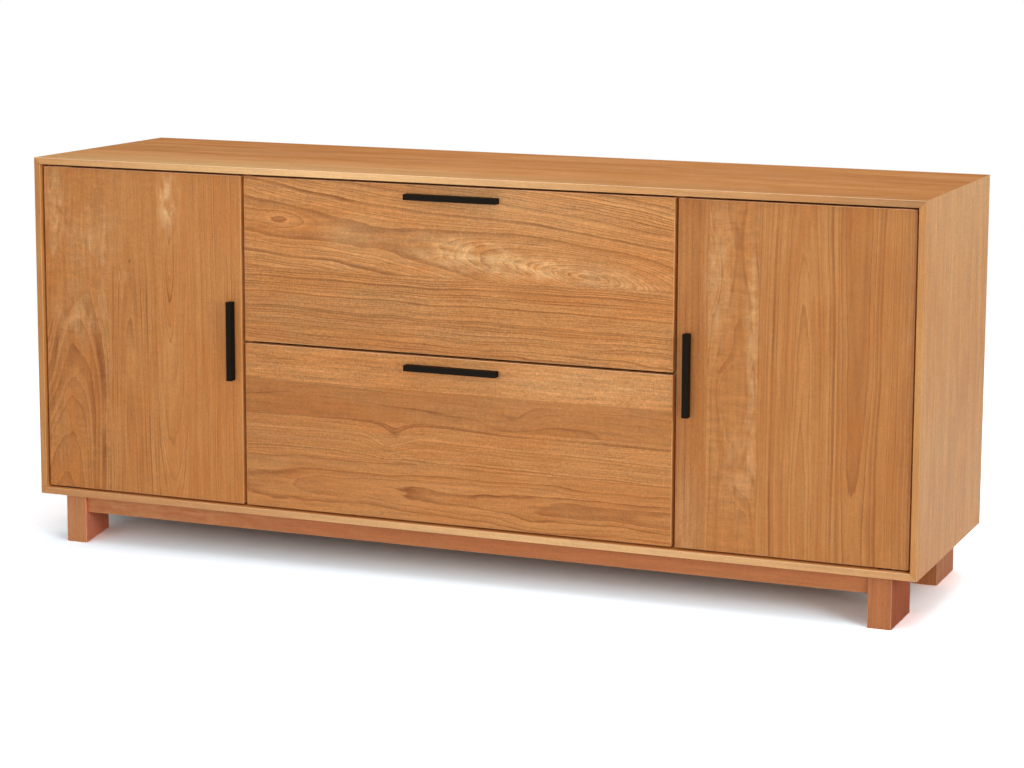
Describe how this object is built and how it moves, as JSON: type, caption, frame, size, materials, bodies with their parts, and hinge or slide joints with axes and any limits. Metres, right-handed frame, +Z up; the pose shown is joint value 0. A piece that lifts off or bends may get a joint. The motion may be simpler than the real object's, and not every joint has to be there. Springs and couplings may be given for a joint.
{
  "type": "office credenza",
  "caption": "Long low cherry office credenza with a mitred case on wedge legs, hinged doors at both ends and wide file drawers between, slim black bar pulls.",
  "frame": {"origin": "on the floor under the middle of the overall box, the pulls included", "axes": "+X to the right seen from the front, front faces -Y, +Z up"},
  "size_m": [1.778, 0.494, 0.764],
  "materials": {
    "case_cherry": "satin oil finish",
    "door_cherry": "satin oil finish",
    "drawer_front_cherry": "satin oil finish",
    "base_cherry": "satin oil finish",
    "inside_cherry": "satin oil finish",
    "back_cherry": "satin oil finish",
    "drawer_box_maple": "clear satin finish",
    "spline_ply": "bare",
    "pull_black": "matte black powder coat",
    "peg_steel": "bright nickel plate",
    "hinge_steel": "light bronze",
    "screw_steel": "zinc plate",
    "slide_steel": "zinc plate",
    "file_rail_steel": "brushed",
    "strike_steel": "zinc plate",
    "clip_plastic": "matte",
    "catch_plastic": "matte brown"
  },
  "bodies": {
    "case": {"leg_front_left": "base_cherry", "leg_back_left": "base_cherry", "leg_front_right": "base_cherry", "leg_back_right": "base_cherry", "rail_front": "base_cherry", "rail_back": "base_cherry", "base_stretchers": "base_cherry", "base_screws": "screw_steel", "slide_cabinet_lower": "slide_steel", "slide_cabinet_upper": "slide_steel", "case_top": "case_cherry", "case_bottom": "case_cherry", "mitre_splines": "spline_ply", "back_panel": "back_cherry", "back_screws": "screw_steel", "case_side_left": "case_cherry", "partition_left": "inside_cherry", "shelf_left": "inside_cherry", "case_side_right": "case_cherry", "partition_right": "inside_cherry", "shelf_right": "inside_cherry", "shelf_pegs": "peg_steel", "hinge_leaves": "hinge_steel", "door_catches": "catch_plastic", "case_screws": "screw_steel"},
    "door_left": {"door_left": "door_cherry", "door_left_pull": "pull_black", "door_left_leaves": "hinge_steel", "door_left_strike": "strike_steel", "door_left_screws": "screw_steel"},
    "door_right": {"door_right": "door_cherry", "door_right_pull": "pull_black", "door_right_leaves": "hinge_steel", "door_right_strike": "strike_steel", "door_right_screws": "screw_steel"},
    "slide_middle_lower": {"slide_middle_lower": "slide_steel"},
    "slide_middle_upper": {"slide_middle_upper": "slide_steel"},
    "drawer_lower": {"drawer_lower_front": "drawer_front_cherry", "drawer_lower_pull": "pull_black", "drawer_lower_side_left": "drawer_box_maple", "drawer_lower_side_right": "drawer_box_maple", "drawer_lower_inner_front": "drawer_box_maple", "drawer_lower_inner_back": "drawer_box_maple", "drawer_lower_bottom": "drawer_box_maple", "drawer_lower_runners": "slide_steel", "drawer_lower_screws": "screw_steel", "drawer_lower_file_rails": "file_rail_steel", "drawer_lower_rail_clips": "clip_plastic"},
    "drawer_upper": {"drawer_upper_front": "drawer_front_cherry", "drawer_upper_pull": "pull_black", "drawer_upper_side_left": "drawer_box_maple", "drawer_upper_side_right": "drawer_box_maple", "drawer_upper_inner_front": "drawer_box_maple", "drawer_upper_inner_back": "drawer_box_maple", "drawer_upper_bottom": "drawer_box_maple", "drawer_upper_runners": "slide_steel", "drawer_upper_screws": "screw_steel", "drawer_upper_file_rails": "file_rail_steel", "drawer_upper_rail_clips": "clip_plastic"}
  },
  "joints": [
    {"name": "door_left_hinge", "type": "hinge", "parent": "case", "child": "door_left", "pos_m": [-0.8637, -0.2215, 0.43], "axis": [0, 0, -1], "range_deg": [0, 95]},
    {"name": "door_right_hinge", "type": "hinge", "parent": "case", "child": "door_right", "pos_m": [0.8637, -0.2215, 0.43], "axis": [0, 0, 1], "range_deg": [0, 95]},
    {"name": "drawer_upper_slide", "type": "slide", "parent": "case", "child": "drawer_upper", "axis": [0, -1, 0], "range_m": [0, 0.4]},
    {"name": "drawer_lower_slide", "type": "slide", "parent": "case", "child": "drawer_lower", "axis": [0, -1, 0], "range_m": [0, 0.4]},
    {"name": "slide_middle_upper_run", "type": "slide", "parent": "case", "child": "slide_middle_upper", "axis": [0, -1, 0], "range_m": [0, 0.2]},
    {"name": "slide_middle_lower_run", "type": "slide", "parent": "case", "child": "slide_middle_lower", "axis": [0, -1, 0], "range_m": [0, 0.2]}
  ],
  "couplings": [
    {"joint": "slide_middle_upper_run", "follows": "drawer_upper_slide", "ratio": 0.5},
    {"joint": "slide_middle_lower_run", "follows": "drawer_lower_slide", "ratio": 0.5}
  ]
}
